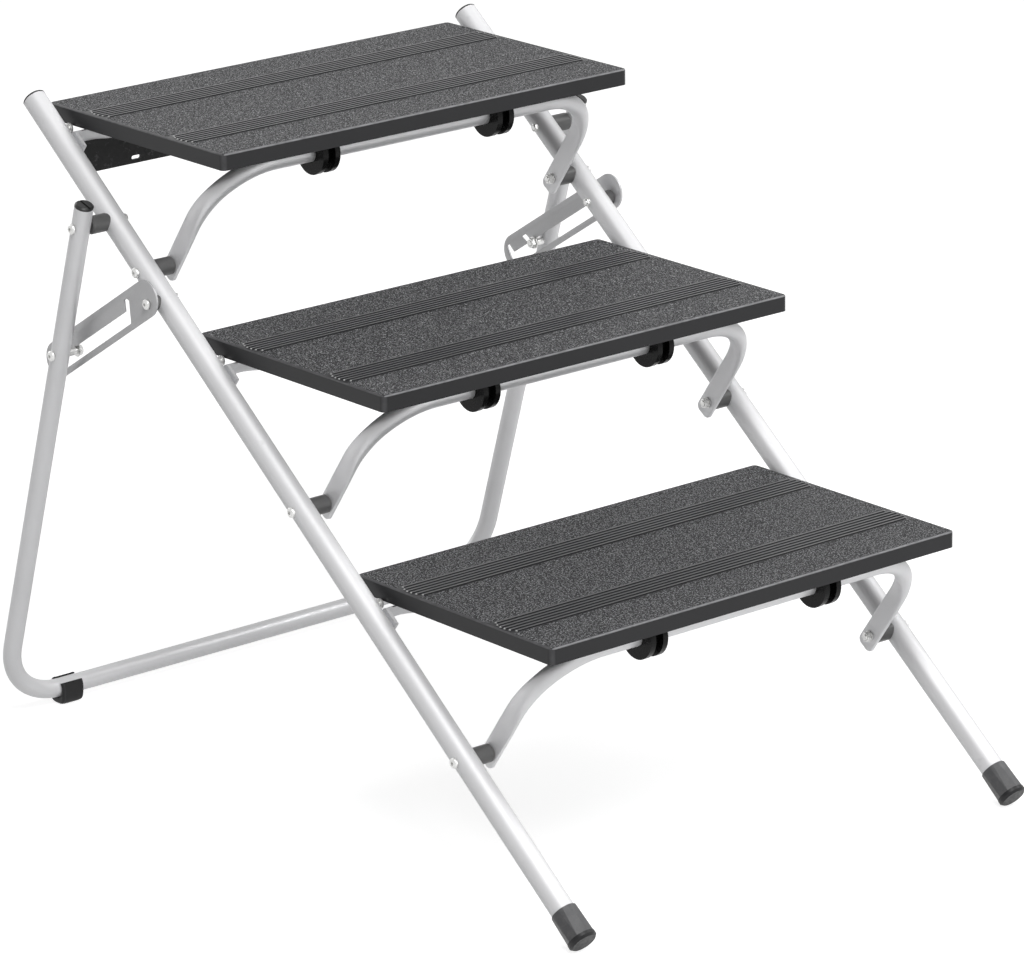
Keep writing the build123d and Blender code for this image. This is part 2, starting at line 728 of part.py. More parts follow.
# Rear apron
def make_apron():
    """Plastic strip behind the top cross tube, held by open rings that snap round the tube."""
    place = cross_places[-1]
    half_length = rail_inner_x - apron_end_gap
    inner_radius = cross_radius + fit_gap
    outer_radius = inner_radius + apron_thickness
    ring = Circle(outer_radius) - Circle(inner_radius)
    reach = cut_margin + cut_margin
    grip_top = math.radians(apron_grip_top)
    grip_front = math.radians(apron_grip_front)
    open_middle = (grip_top + grip_front) / 2
    wedge = Polyline(
        (0, 0),
        (reach * math.cos(grip_top), reach * math.sin(grip_top)),
        (reach * math.cos(open_middle), reach * math.sin(open_middle)),
        (reach * math.cos(grip_front), reach * math.sin(grip_front)),
        close=True,
    )
    ring -= make_face(wedge)
    skirt = Pos(inner_radius + apron_thickness / 2, -apron_drop / 2) * Rectangle(apron_thickness, apron_drop)
    body = on_side(-half_length, place) * extrude(skirt, 2 * half_length)
    low_corners = body.edges().filter_by(Axis.Y).group_by(Axis.Z)[0]
    body = fillet(low_corners, apron_corner_radius)
    grip_span = rail_inner_x - cross_tab_length - cross_flare_length - apron_grip_length
    for index in range(apron_grip_count):
        middle = grip_span * (2 * index / (apron_grip_count - 1) - 1)
        body += on_side(middle - apron_grip_length / 2, place) * extrude(ring, apron_grip_length)
    for x in (-apron_hole_spacing / 2, apron_hole_spacing / 2):
        hole_height = place[1] - apron_drop + apron_hole_rise
        hole = Plane(origin=(x, place[0], hole_height), x_dir=(1, 0, 0), z_dir=(0, 1, 0))
        body -= hole * extrude(SlotOverall(apron_hole_length, apron_hole_height), cut_margin)
    return body


step_names = ["lower", "middle", "upper"]
nodes = {}

right_pieces = {
    "rail": make_rail(),
    "rail_boot": make_boot(),
    "rail_plug": make_rail_plug(),
    "lock_plate": make_lock_plate(),
    "lock_nut": make_lock_nut(),
    "lock_washer": make_lock_washer(),
    "rear_foot": make_frame_foot(),
}
for name, piece in right_pieces.items():
    nodes["right_" + name] = piece
    nodes["left_" + name] = mirror(piece, about=Plane.YZ)

paired_pieces = {
    "rear_frame_plugs": make_frame_plug(),
    "lock_bolts": make_lock_bolt(),
    "lock_sleeves": make_lock_sleeve(),
}
paired_pieces.update(make_frame_pivot())
paired_pieces.update(make_plate_pivot())
for name, piece in paired_pieces.items():
    nodes[name] = both_sides(piece)

pivot_sets = [make_bow_pivot(place) for place in bow_pivots]
for name in pivot_sets[0]:
    nodes[name] = group([both_sides(pivot_set[name]) for pivot_set in pivot_sets])
nodes["cross_tube_screws"] = group([both_sides(make_cross_screw(place)) for place in screw_places])

for step in range(step_count):
    name = step_names[step]
    nodes[name + "_cross_tube"] = make_cross_tube(step)
    nodes[name + "_bow"] = make_bow(step)
    nodes[name + "_tread"] = make_tread(step)
    for x, side in zip(clip_places, ("left", "right")):
        nodes[name + "_" + side + "_clip"] = make_clip(x, step)

nodes["rear_frame"] = make_rear_frame()
nodes["rear_apron"] = make_apron()

# The origin is on the floor in the middle of the stairs' footprint.
front_edge = nodes["right_rail_boot"].bounding_box().min.Y
rear_edge = nodes["right_rear_foot"].bounding_box().max.Y
footprint_middle = (front_edge + rear_edge) / 2

os.makedirs("parts", exist_ok=True)
for name, shape in nodes.items():
    export_step(Pos(0, -footprint_middle, 0) * shape, "parts/" + name + ".step")
print("footprint middle", round(footprint_middle, 3), "nodes", len(nodes))
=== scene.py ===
import json
import math

import bmesh
import bpy
import numpy as np
from mathutils import Matrix, Vector


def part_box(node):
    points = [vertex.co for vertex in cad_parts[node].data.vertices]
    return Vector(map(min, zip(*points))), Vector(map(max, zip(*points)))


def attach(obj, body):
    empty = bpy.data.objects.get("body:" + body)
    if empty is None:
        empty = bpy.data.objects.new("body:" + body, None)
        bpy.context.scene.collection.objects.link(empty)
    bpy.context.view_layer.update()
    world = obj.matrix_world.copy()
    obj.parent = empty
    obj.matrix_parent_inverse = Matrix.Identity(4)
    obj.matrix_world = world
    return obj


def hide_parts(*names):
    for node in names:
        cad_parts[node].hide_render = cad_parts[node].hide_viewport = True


# Folding pet stairs: the looks of three grained treads on round satin rails, with silver-coated tubes.
# Everything is in metres: X across the stairs, Y the way one climbs, Z up from the floor.

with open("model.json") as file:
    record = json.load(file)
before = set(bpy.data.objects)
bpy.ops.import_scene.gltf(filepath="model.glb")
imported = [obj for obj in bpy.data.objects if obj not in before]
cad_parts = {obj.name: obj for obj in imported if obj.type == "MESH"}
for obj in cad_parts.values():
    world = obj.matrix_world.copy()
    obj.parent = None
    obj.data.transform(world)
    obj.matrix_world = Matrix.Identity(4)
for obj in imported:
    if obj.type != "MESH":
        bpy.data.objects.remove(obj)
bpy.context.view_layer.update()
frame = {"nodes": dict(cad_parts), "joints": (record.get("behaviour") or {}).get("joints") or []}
joints = {joint["name"]: joint for joint in frame["joints"]}
MM = 0.001
SIDES = (("left", -1), ("right", 1))

# The three steps: a fixed run and rise from one to the next
STEP_NAMES = ("lower", "middle", "upper")
LOWER_BAR = np.array(joints["lower_tread_tilt"]["pos_m"])
MIDDLE_BAR = np.array(joints["middle_tread_tilt"]["pos_m"])
STEP_RUN = float(MIDDLE_BAR[1] - LOWER_BAR[1])
STEP_RISE = float(MIDDLE_BAR[2] - LOWER_BAR[2])

# A tread: its deck, the two grip strips and their ribs
TREAD_LOW, TREAD_HIGH = (np.array(corner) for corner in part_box("lower_tread"))
TREAD_DEPTH = float(TREAD_HIGH[1] - TREAD_LOW[1])
TREAD_HALF_LENGTH = float(TREAD_HIGH[0])
RIB_COUNT = 6
RIB_PITCH = 5.5 * MM
RIB_HEIGHT = 0.8 * MM
RIB_DRAW_IN = 14.0 * MM
DECK_LEVEL = float(TREAD_HIGH[2]) - RIB_HEIGHT
STEP_SPLIT = 80.0 * MM
STRIP_INSET = 69.0 * MM
STRIP_HALF_WIDTH = 16.5 * MM
STRIP_END_GAP = 4.0 * MM

# Where a tread's looks pass into one another: from and to, as heights over its deck or distances from its rim
DECK_FADE = (-0.25 * MM, -0.02 * MM)
RIB_FADE = (0.45 * MM, 0.7 * MM)
# DROP_FADE, EDGE_FADE, SIDE_FADE and CORNER_FADE shape the painted highlight along the tread's edges.
DROP_FADE = (-1.5 * MM, -0.9 * MM)
EDGE_FADE = (1.1 * MM, 1.7 * MM)
SIDE_FADE = (1.6 * MM, 2.2 * MM)
RIM_FADE = (1.8 * MM, 2.6 * MM)
CORNER_FADE = (2.2 * MM, 4.6 * MM)
STRIP_FADE = (STRIP_HALF_WIDTH, STRIP_HALF_WIDTH + 0.8 * MM)

# The rails' slope, and where the boots' black sole ends along it
PITCH = math.atan2(STEP_RISE, STEP_RUN)
BOOT_LOW, BOOT_HIGH = (np.array(corner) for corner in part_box("left_rail_boot"))
BOOT_RADIUS = float(BOOT_HIGH[0] - BOOT_LOW[0]) / 2
BOOT_BEVEL = 2.0 * MM
SOLE_BAND = 5.0 * MM
SOLE_EDGE = 0.3 * MM
BOOT_END_Y = float(BOOT_LOW[1]) + (BOOT_RADIUS - BOOT_BEVEL) * math.sin(PITCH)
BOOT_END_Z = BOOT_RADIUS * math.cos(PITCH) - BOOT_BEVEL * math.sin(PITCH)
SOLE_LINE = BOOT_END_Y * math.cos(PITCH) + BOOT_END_Z * math.sin(PITCH) + SOLE_BAND


# Materials
class Finish:
    """A node material under construction: a Principled shader and short calls for the nodes before it."""

    def __init__(self, name, color, roughness, metallic=0.0, gloss=0.5):
        self.material = bpy.data.materials.new(name)
        self.material.use_nodes = True
        self.nodes = self.material.node_tree.nodes
        self.links = self.material.node_tree.links
        self.shader = self.nodes["Principled BSDF"]
        self.shader.inputs["Base Color"].default_value = (*color, 1.0)
        self.shader.inputs["Roughness"].default_value = roughness
        self.shader.inputs["Metallic"].default_value = metallic
        self.shader.inputs["Specular IOR Level"].default_value = gloss
        self.place = self.nodes.new("ShaderNodeTexCoord").outputs["Object"]

    def feed(self, socket, value):
        """Puts a number or a colour on a socket, or links another node's output to it."""
        if isinstance(value, bpy.types.NodeSocket):
            self.links.new(value, socket)
        elif hasattr(socket.default_value, "__len__"):
            socket.default_value = (*value, 1.0)
        else:
            socket.default_value = value

    def math(self, operation, first, second=0.0):
        """One arithmetic step."""
        node = self.nodes.new("ShaderNodeMath")
        node.operation = operation
        for socket, value in zip(node.inputs, (first, second)):
            self.feed(socket, value)
        return node.outputs[0]

    def split(self):
        """The x, y and z of the place on the object."""
        node = self.nodes.new("ShaderNodeSeparateXYZ")
        self.links.new(self.place, node.inputs[0])
        return node.outputs[0], node.outputs[1], node.outputs[2]

    def stretched(self, scale, turn=(0.0, 0.0, 0.0)):
        """The place on the object, turned and stretched for a pattern with a direction."""
        node = self.nodes.new("ShaderNodeMapping")
        self.links.new(self.place, node.inputs["Vector"])
        node.inputs["Rotation"].default_value = turn
        node.inputs["Scale"].default_value = scale
        return node.outputs[0]

    def noise(self, scale, detail=3.0, rough=0.5, place=None):
        """Soft random pattern between 0 and 1."""
        node = self.nodes.new("ShaderNodeTexNoise")
        self.links.new(place or self.place, node.inputs["Vector"])
        node.inputs["Scale"].default_value = scale
        node.inputs["Detail"].default_value = detail
        node.inputs["Roughness"].default_value = rough
        return node.outputs["Fac"]

    def grains(self, scale):
        """Distance to the nearest of many scattered points."""
        node = self.nodes.new("ShaderNodeTexVoronoi")
        self.links.new(self.place, node.inputs["Vector"])
        node.inputs["Scale"].default_value = scale
        return node.outputs["Distance"]

    def spread(self, value, low, high, to_low=0.0, to_high=1.0):
        """A value from one span carried to another and held at its ends."""
        node = self.nodes.new("ShaderNodeMapRange")
        spans = {"From Min": low, "From Max": high, "To Min": to_low, "To Max": to_high}
        for name, number in spans.items():
            node.inputs[name].default_value = number
        self.links.new(value, node.inputs["Value"])
        return node.outputs[0]

    def mix(self, share, first, second):
        """Colour between two, by a share."""
        node = self.nodes.new("ShaderNodeMix")
        node.data_type = "RGBA"
        share_socket, first_socket, second_socket = (node.inputs[index] for index in (0, 6, 7))
        self.feed(share_socket, share)
        self.feed(first_socket, first)
        self.feed(second_socket, second)
        return node.outputs[2]

    def relief(self, height, distance, strength, before=None):
        """Bump from a height between 0 and 1."""
        node = self.nodes.new("ShaderNodeBump")
        node.inputs["Distance"].default_value = distance
        self.feed(node.inputs["Strength"], strength)
        self.links.new(height, node.inputs["Height"])
        if before is not None:
            self.links.new(before, node.inputs["Normal"])
        self.links.new(node.outputs[0], self.shader.inputs["Normal"])
        return node.outputs[0]

    def use(self, socket_name, value):
        """Drives one of the shader's sockets."""
        self.feed(self.shader.inputs[socket_name], value)

    def vary_roughness(self, scale, smoothest, roughest):
        """Roughness that wanders between two values."""
        self.use("Roughness", self.spread(self.noise(scale), 0.3, 0.7, smoothest, roughest))


def satin_aluminium():
    """Drawn aluminium tube: fine lines along the rail, cloudy sheen and a few faint rubs."""
    finish = Finish("satin_aluminium", (0.76, 0.76, 0.77), 0.52, metallic=0.3, gloss=0.15)
    along_rail = finish.stretched((1.0, 0.02, 1.0), (-PITCH, 0.0, 0.0))
    lines = finish.noise(900.0, place=along_rail)
    clouds = finish.noise(14.0, detail=4.0)
    rubs = finish.spread(finish.noise(60.0, detail=5.0, rough=0.7), 0.62, 0.75)
    tone = finish.mix(clouds, (0.71, 0.71, 0.72), (0.79, 0.79, 0.80))
    tone = finish.mix(finish.math("MULTIPLY", rubs, 0.35), tone, (0.60, 0.60, 0.61))
    finish.use("Base Color", tone)
    line_haze = finish.spread(lines, 0.3, 0.7, 0.46, 0.60)
    finish.use("Roughness", finish.math("ADD", line_haze, finish.math("MULTIPLY", rubs, 0.12)))
    finish.relief(lines, 0.02 * MM, 0.5)
    return finish.material


def silver_coat(name, tone_low, tone_high, roughness, metallic):
    """Silver powder coat: fine sparkle, a light orange-peel and slightly uneven cover."""
    low, high = ((tone, tone, tone * 1.015) for tone in (tone_low, tone_high))
    finish = Finish(name, (tone_high, tone_high, tone_high * 1.01), roughness, metallic=metallic, gloss=0.12)
    clouds = finish.noise(22.0, detail=4.0)
    sparkle = finish.spread(finish.grains(1600.0), 0.10, 0.35, 1.0, 0.0)
    tone = finish.mix(clouds, low, high)
    tone = finish.mix(finish.math("MULTIPLY", sparkle, 0.22), tone, (0.88, 0.88, 0.89))
    finish.use("Base Color", tone)
    finish.vary_roughness(260.0, roughness - 0.07, roughness + 0.08)
    finish.relief(finish.noise(420.0), 0.05 * MM, 0.45)
    return finish.material


def tread_zones(finish):
    """Shares that tell where a point of a tread lies: the deck within its rim, the grained part of it, the
    tops of the ribs, and the edges that carry a painted highlight. The step's number comes from the height, so
    that one pattern serves all three treads."""
    x, y, z = finish.split()
    above_split = finish.math("SUBTRACT", z, DECK_LEVEL - STEP_SPLIT)
    step = finish.math("FLOOR", finish.math("DIVIDE", above_split, STEP_RISE))
    step_rise = finish.math("MULTIPLY", step, STEP_RISE)
    step_run = finish.math("MULTIPLY", step, STEP_RUN)
    level = finish.math("SUBTRACT", finish.math("SUBTRACT", z, DECK_LEVEL), step_rise)
    depth = finish.math("SUBTRACT", finish.math("SUBTRACT", y, float(TREAD_LOW[1])), step_run)

    rim_y = finish.math("MINIMUM", depth, finish.math("SUBTRACT", TREAD_DEPTH, depth))
    rim_x = finish.math("SUBTRACT", TREAD_HALF_LENGTH, finish.math("ABSOLUTE", x))
    rim = finish.math("MINIMUM", rim_x, rim_y)
    on_deck = finish.spread(level, *DECK_FADE)
    within_rim = finish.math("MULTIPLY", on_deck, finish.spread(rim, *RIM_FADE))

    from_middle = finish.math("ABSOLUTE", finish.math("SUBTRACT", depth, TREAD_DEPTH / 2))
    strip_middle = TREAD_DEPTH / 2 - STRIP_INSET
    from_strip = finish.math("ABSOLUTE", finish.math("SUBTRACT", from_middle, strip_middle))
    grained = finish.math("MULTIPLY", within_rim, finish.spread(from_strip, *STRIP_FADE))
    on_rib = finish.spread(level, *RIB_FADE)

    # Painted highlight: a mask for a lighter colour along the deck's top edges and on the vertical corners,
    # where the rounded edges would catch light. It is weaker at the left and right ends.
    near_rim = finish.spread(rim, *EDGE_FADE, 1.0, 0.0)
    top_edge_highlight = finish.math("MULTIPLY", near_rim, finish.spread(level, *DROP_FADE))
    highlight_weaker_at_sides = finish.spread(rim_x, *SIDE_FADE, 0.35, 0.85)
    corner = finish.spread(finish.math("ADD", rim_x, rim_y), *CORNER_FADE, 1.0, 0.0)
    edges = finish.math("MAXIMUM", finish.math("MULTIPLY", top_edge_highlight, highlight_weaker_at_sides),
                        finish.math("MULTIPLY", corner, 0.35))
    return within_rim, grained, on_rib, edges


def tread_plastic():
    """Moulded tread: coarse grain on the deck with painted glints, smooth dark grip strips whose lighter rib
    tops are a painted highlight, and a painted highlight along the top edges and corners.
    """
    finish = Finish("tread_plastic", (0.02, 0.02, 0.022), 0.5, gloss=0.28)
    within_rim, grained, on_rib, edges = tread_zones(finish)
    lumps = finish.noise(560.0, rough=0.7)
    dots = finish.spread(finish.grains(640.0), 0.05, 0.55, 1.0, 0.0)
    grain = finish.math("ADD", finish.math("MULTIPLY", lumps, 0.7), finish.math("MULTIPLY", dots, 0.5))
    # Painted glints: light spots in the grain's colour that stand for light glinting off the grain.
    painted_glints = finish.spread(finish.noise(600.0, detail=2.0, rough=0.75), 0.58, 0.68)
    clouds = finish.noise(16.0, detail=4.0)

    side_tone = finish.mix(clouds, (0.007, 0.007, 0.008), (0.014, 0.014, 0.016))
    strip_tone = finish.mix(lumps, (0.009, 0.009, 0.010), (0.027, 0.027, 0.029))
    # Rib tops lighter than the strip between them: a painted highlight on the ribs.
    rib_top_highlight = finish.mix(lumps, (0.06, 0.06, 0.062), (0.17, 0.17, 0.175))
    grain_height = finish.spread(grain, 0.44, 0.72)
    grain_tone = finish.mix(grain_height, (0.005, 0.005, 0.006), (0.245, 0.248, 0.258))
    grain_tone = finish.mix(finish.math("MULTIPLY", painted_glints, 0.9), grain_tone, (0.55, 0.55, 0.56))
    tone = finish.mix(within_rim, side_tone, strip_tone)
    tone = finish.mix(grained, tone, grain_tone)
    tone = finish.mix(finish.math("MULTIPLY", on_rib, 0.85), tone, rib_top_highlight)
    # Painted highlight along the top edges and corners, in light grey, broken up by noise.
    highlight_breakup = finish.spread(finish.noise(120.0, detail=4.0), 0.25, 0.6, 0.55, 1.0)
    painted_edge_highlight = finish.math("MULTIPLY", edges, highlight_breakup)
    finish.use("Base Color", finish.mix(painted_edge_highlight, tone, (0.26, 0.26, 0.27)))
    finish.use("Roughness", finish.spread(grained, 0.0, 1.0, 0.36, 0.62))

    moulding = finish.noise(38.0, detail=2.0, place=finish.stretched((1.0, 1.0, 0.05)))
    flat = finish.relief(moulding, 0.12 * MM, 0.25)
    finish.relief(grain, 0.6 * MM, finish.math("MULTIPLY", grained, 0.95), flat)
    return finish.material


def satin_plastic(name, tone, roughness, gloss=0.25):
    """Plain moulded plastic with a fine sheen that varies a little."""
    finish = Finish(name, (tone, tone, tone * 1.05), roughness, gloss=gloss)
    clouds = finish.noise(70.0, detail=4.0)
    finish.use("Base Color", finish.mix(clouds, (tone * 0.8,) * 3, (tone * 1.25,) * 3))
    finish.vary_roughness(400.0, roughness - 0.08, roughness + 0.1)
    finish.relief(finish.noise(1100.0), 0.05 * MM, 0.35)
    return finish.material


def flecked_plastic(name, tone, roughness, fleck):
    """Rough-backed plastic: coarse relief and lighter flecks on an uneven tone."""
    finish = Finish(name, (tone, tone, tone * 1.05), roughness, gloss=0.25)
    clouds = finish.noise(70.0, detail=4.0)
    spots = finish.spread(finish.noise(190.0, detail=4.0, rough=0.75), 0.56, 0.72, 0.0, fleck)
    look = finish.mix(clouds, (tone * 0.8,) * 3, (tone * 1.25,) * 3)
    finish.use("Base Color", finish.mix(spots, look, (0.16, 0.16, 0.165)))
    finish.vary_roughness(400.0, roughness - 0.08, roughness + 0.1)
    finish.relief(finish.noise(260.0), 0.4 * MM, 0.6)
    return finish.material


def dark_rubber(name, tone, gloss, sole):
    """Rubber with a soft sheen, dusty in the hollows; the boots end in a black sole band."""
    finish = Finish(name, (tone, tone, tone * 1.05), 0.5, gloss=gloss)
    dust = finish.spread(finish.noise(150.0, detail=5.0, rough=0.7), 0.45, 0.75)
    look = finish.mix(finish.math("MULTIPLY", dust, 0.45), (tone, tone, tone * 1.04), (tone * 1.9,) * 3)
    if sole:
        x, y, z = finish.split()
        along = finish.math("ADD", finish.math("MULTIPLY", y, math.cos(PITCH)),
                            finish.math("MULTIPLY", z, math.sin(PITCH)))
        band = finish.spread(along, SOLE_LINE - SOLE_EDGE, SOLE_LINE + SOLE_EDGE, 1.0, 0.0)
        look = finish.mix(band, look, (0.006, 0.006, 0.007))
    finish.use("Base Color", look)
    finish.vary_roughness(300.0, 0.36, 0.52)
    finish.relief(finish.noise(700.0, detail=4.0), 0.06 * MM, 0.4)
    return finish.material


def bright_zinc():
    """Zinc-plated steel: bright, with soft cloudy spots and turning marks."""
    finish = Finish("bright_zinc", (0.66, 0.66, 0.65), 0.36, metallic=0.7)
    clouds = finish.noise(180.0, detail=4.0)
    finish.use("Base Color", finish.mix(clouds, (0.68, 0.68, 0.67), (0.84, 0.84, 0.83)))
    finish.vary_roughness(700.0, 0.30, 0.42)
    finish.relief(finish.noise(1500.0, detail=2.0), 0.01 * MM, 0.2)
    return finish.material


aluminium = satin_aluminium()
silver = silver_coat("silver_coat", 0.66, 0.76, 0.42, 0.35)
# The bows use a lighter copy of the silver coat: painted light that makes up for the shade the treads cast on
# them.
bow_silver_painted_light = silver_coat("bow_silver_painted_light", 0.80, 0.90, 0.44, 0.3)
plate_silver = silver_coat("plate_silver", 0.52, 0.61, 0.40, 0.3)
tread_finish = tread_plastic()
black_plastic = satin_plastic("black_plastic", 0.005, 0.24, 0.12)
spacer_plastic = satin_plastic("spacer_plastic", 0.11, 0.36)
plug_plastic = satin_plastic("plug_plastic", 0.03, 0.35)
apron_plastic = flecked_plastic("apron_plastic", 0.030, 0.5, 0.7)
boot_rubber = dark_rubber("boot_rubber", 0.085, 0.32, True)
foot_rubber = dark_rubber("foot_rubber", 0.013, 0.25, False)
zinc = bright_zinc()
# Light grey pips at the rib ends: a painted highlight on the black tread moulding.
pip_painted_highlight = satin_plastic("pip_painted_highlight_plastic", 0.40, 0.25)


def finish_for(node):
    """The material of a CAD node, by what the node is."""
    if node in ("left_rail", "right_rail"):
        return aluminium
    if "boot" in node:
        return boot_rubber
    if "foot" in node:
        return foot_rubber
    if "lock_plate" in node:
        return plate_silver
    if node.endswith(("bolts", "washers", "nuts", "screws", "_nut", "_washer", "sleeves")):
        return zinc
    if node.endswith("_bow"):
        return bow_silver_painted_light
    if node.endswith("cross_tube") or node == "rear_frame":
        return silver
    if node.endswith("_tread"):
        return tread_finish
    if node.endswith("spacers"):
        return spacer_plastic
    if "plug" in node:
        return plug_plastic
    if node == "rear_apron":
        return apron_plastic
    return black_plastic


for node_name, node_object in frame["nodes"].items():
    node_object.data.materials.clear()
    node_object.data.materials.append(finish_for(node_name))


# Surfaces
SHARP_EDGE = 38.0


def full_turn(count):
    """Evenly spaced angles once round, the last one short of the first."""
    return np.linspace(0.0, 2 * math.pi, count, endpoint=False)


def superellipse(turn, power):
    """Rounded rectangle in a square of half width 1: the angle's cosine and sine, each raised to a power with
    its sign kept."""
    across, up = np.cos(turn), np.sin(turn)
    return np.sign(across) * np.abs(across) ** power, np.sign(up) * np.abs(up) ** power


def smooth_share(value, start, end):
    """Share from 0 at start to 1 at end along a cubic with level ends: 3 s squared less 2 s cubed."""
    share = np.clip((value - start) / (end - start), 0.0, 1.0)
    return share * share * (3 - 2 * share)


def ring_stack(rings, looped=False):
    """Skin over rings of points (rows, around, 3): quads between neighbours, and a fan to the middle at each
    end unless the last ring joins the first. Six times the enclosed volume tells whether its faces must be
    turned."""
    rows, around = rings.shape[:2]
    points = rings.reshape(-1, 3)
    row = np.arange(rows if looped else rows - 1)[:, None]
    column = np.arange(around)[None, :]
    next_row, next_column = (row + 1) % rows, (column + 1) % around
    quads = np.stack([
        row * around + column, row * around + next_column,
        next_row * around + next_column, next_row * around + column,
    ], -1).reshape(-1, 4)
    triangles = np.zeros((0, 3), int)
    if not looped:
        first, last = len(points), len(points) + 1
        points = np.vstack([points, rings[0].mean(0), rings[-1].mean(0)])
        end_row = (rows - 1) * around
        start = np.stack([np.full(around, first), next_column[0], column[0]], -1)
        end = np.stack([np.full(around, last), end_row + column[0], end_row + next_column[0]], -1)
        triangles = np.vstack([start, end])
    a, b, c, d = (points[quads[:, corner]] for corner in range(4))
    volume = np.einsum("ij,ij->", a, np.cross(b, c)) + np.einsum("ij,ij->", a, np.cross(c, d))
    if len(triangles):
        e, f, g = (points[triangles[:, corner]] for corner in range(3))
        volume += np.einsum("ij,ij->", e, np.cross(f, g))
    if volume < 0:
        quads, triangles = quads[:, ::-1], triangles[:, ::-1]
    return points, quads, triangles


def add_piece(name, skins, body, material, stands_for=(), sharp=SHARP_EDGE):
    """Puts skins into one mesh that rides on a body, smooth but for edges sharper than so many degrees."""
    points, faces, count = [], [], 0
    for skin_points, quads, triangles in skins:
        points.append(skin_points)
        faces.extend((quads + count).tolist())
        faces.extend((triangles + count).tolist())
        count += len(skin_points)
    mesh = bpy.data.meshes.new(name)
    mesh.from_pydata(np.vstack(points).tolist(), [], faces)
    mesh.polygons.foreach_set("use_smooth", np.ones(len(faces), bool))
    mesh.set_sharp_from_angle(angle=math.radians(sharp))
    mesh.materials.append(material)
    piece = bpy.data.objects.new(name, mesh)
    bpy.context.scene.collection.objects.link(piece)
    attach(piece, body)
    if stands_for:
        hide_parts(*stands_for)


# Fasteners
AROUND_BOLT = 36
BOLT_RADIUS = 2.5 * MM
HEAD_RADIUS = 4.75 * MM
HEAD_EDGE = 1.1 * MM
HEAD_HEIGHT = 3.3 * MM
HEAD_BEVEL = 0.3 * MM
BEVEL_SHARE = 0.25
CROWN_ROWS = 9
CROWN_FIRST, CROWN_REACH = 0.12, 0.96
RECESS_HALF_WIDTH = 1.5 * MM
RECESS_DEPTH = 1.7 * MM
RECESS_RIM = 0.15 * MM
RECESS_FLOOR_SHARE = 0.5
CROWN_START = RECESS_HALF_WIDTH * 1.25
THREAD_PITCH = 0.8 * MM
THREAD_DEPTH = 0.25 * MM
THREAD_END = 0.4 * MM
THREAD_ROWS = 30
STUB_ROWS = 34
TAIL_BEVEL = 0.5 * MM
THREADED = 6.0 * MM
LOCK_STUB_OUT = 0.4 * MM
LOCK_NUT_WIDTH = 9.0 * MM
LOCK_NUT_HEIGHT = 4.0 * MM
BOW_NUT_WIDTH = 8.0 * MM
RAIL_NUT_WIDTH = 7.0 * MM
NUT_BORE = BOLT_RADIUS + 0.15 * MM
BORE_BEVEL_DEPTH = 0.4 * MM
BORE_BEVEL_WIDTH = 0.3 * MM
NUT_FACE_SHARE = 0.94
NUT_CORNER_SHARE = 1.1547
CHAMFER_SLOPE = 0.55
CHAMFER_ROWS = 6
NUT_SHARP = 25.0


def hexagon(turn):
    """Reach of a hexagon's side in each direction, as a share of its half width: 1 / cos of the angle off
    the side's middle."""
    return 1.0 / np.cos(np.mod(turn, math.pi / 3) - math.pi / 6)


def about_x(place, side, heights, radii):
    """Rings about the X axis through a place: heights go outwards on its side, radii are (rows, around)."""
    turn = full_turn(radii.shape[1])
    x = place[0] + side * np.broadcast_to(np.asarray(heights)[:, None], radii.shape)
    return np.stack([x, place[1] + radii * np.cos(turn), place[2] + radii * np.sin(turn)], -1)


def thread(steps, turn):
    """Radius of a thread at steps along it: a zigzag that falls by the thread's depth, one pitch a turn."""
    wave = np.abs(np.mod(steps / THREAD_PITCH - turn / (2 * math.pi), 1.0) * 2 - 1)
    return BOLT_RADIUS - THREAD_DEPTH * wave


def bolt_skin(place, side, length):
    """Button-head bolt: hexagon recess, crown on a circle's arc, plain shank and a thread at its tail."""
    turn = full_turn(AROUND_BOLT)
    flat = np.ones(AROUND_BOLT)
    recess = hexagon(turn) * RECESS_HALF_WIDTH
    arc = np.linspace(CROWN_FIRST, 1.0, CROWN_ROWS)
    crown_rise = np.sqrt(np.clip(1 - (arc * CROWN_REACH) ** 2, 0, 1))
    crown_radius = CROWN_START + (HEAD_RADIUS - CROWN_START) * (arc - arc[0]) / (arc[-1] - arc[0])
    heights = [HEAD_HEIGHT - RECESS_DEPTH, HEAD_HEIGHT - RECESS_DEPTH, HEAD_HEIGHT - RECESS_RIM]
    radii = [recess * RECESS_FLOOR_SHARE, recess, recess]
    heights.extend(HEAD_EDGE + (HEAD_HEIGHT - HEAD_EDGE) * crown_rise)
    radii.extend(flat * radius for radius in crown_radius)
    heights.extend([HEAD_EDGE * BEVEL_SHARE, 0.0, 0.0, THREADED - length])
    below_crown = (HEAD_RADIUS, HEAD_RADIUS - HEAD_BEVEL, BOLT_RADIUS, BOLT_RADIUS)
    radii.extend(flat * radius for radius in below_crown)
    steps = np.linspace(THREADED - length, THREAD_END - length, THREAD_ROWS)[1:, None]
    heights = np.concatenate([heights, steps[:, 0], [-length]])
    radii = np.vstack([radii, thread(steps, turn), flat * (BOLT_RADIUS - TAIL_BEVEL)])
    return ring_stack(about_x(place, side, heights, radii))


def stub_skin(place, side, length):
    """Threaded end of a bolt, with a bevel at both ends."""
    turn = full_turn(AROUND_BOLT)
    steps = np.linspace(THREAD_END, length - THREAD_END, STUB_ROWS)[:, None]
    end = np.full(AROUND_BOLT, BOLT_RADIUS - TAIL_BEVEL)
    heights = np.concatenate([[0.0], steps[:, 0], [length]])
    return ring_stack(about_x(place, side, heights, np.vstack([end, thread(steps, turn), end])))


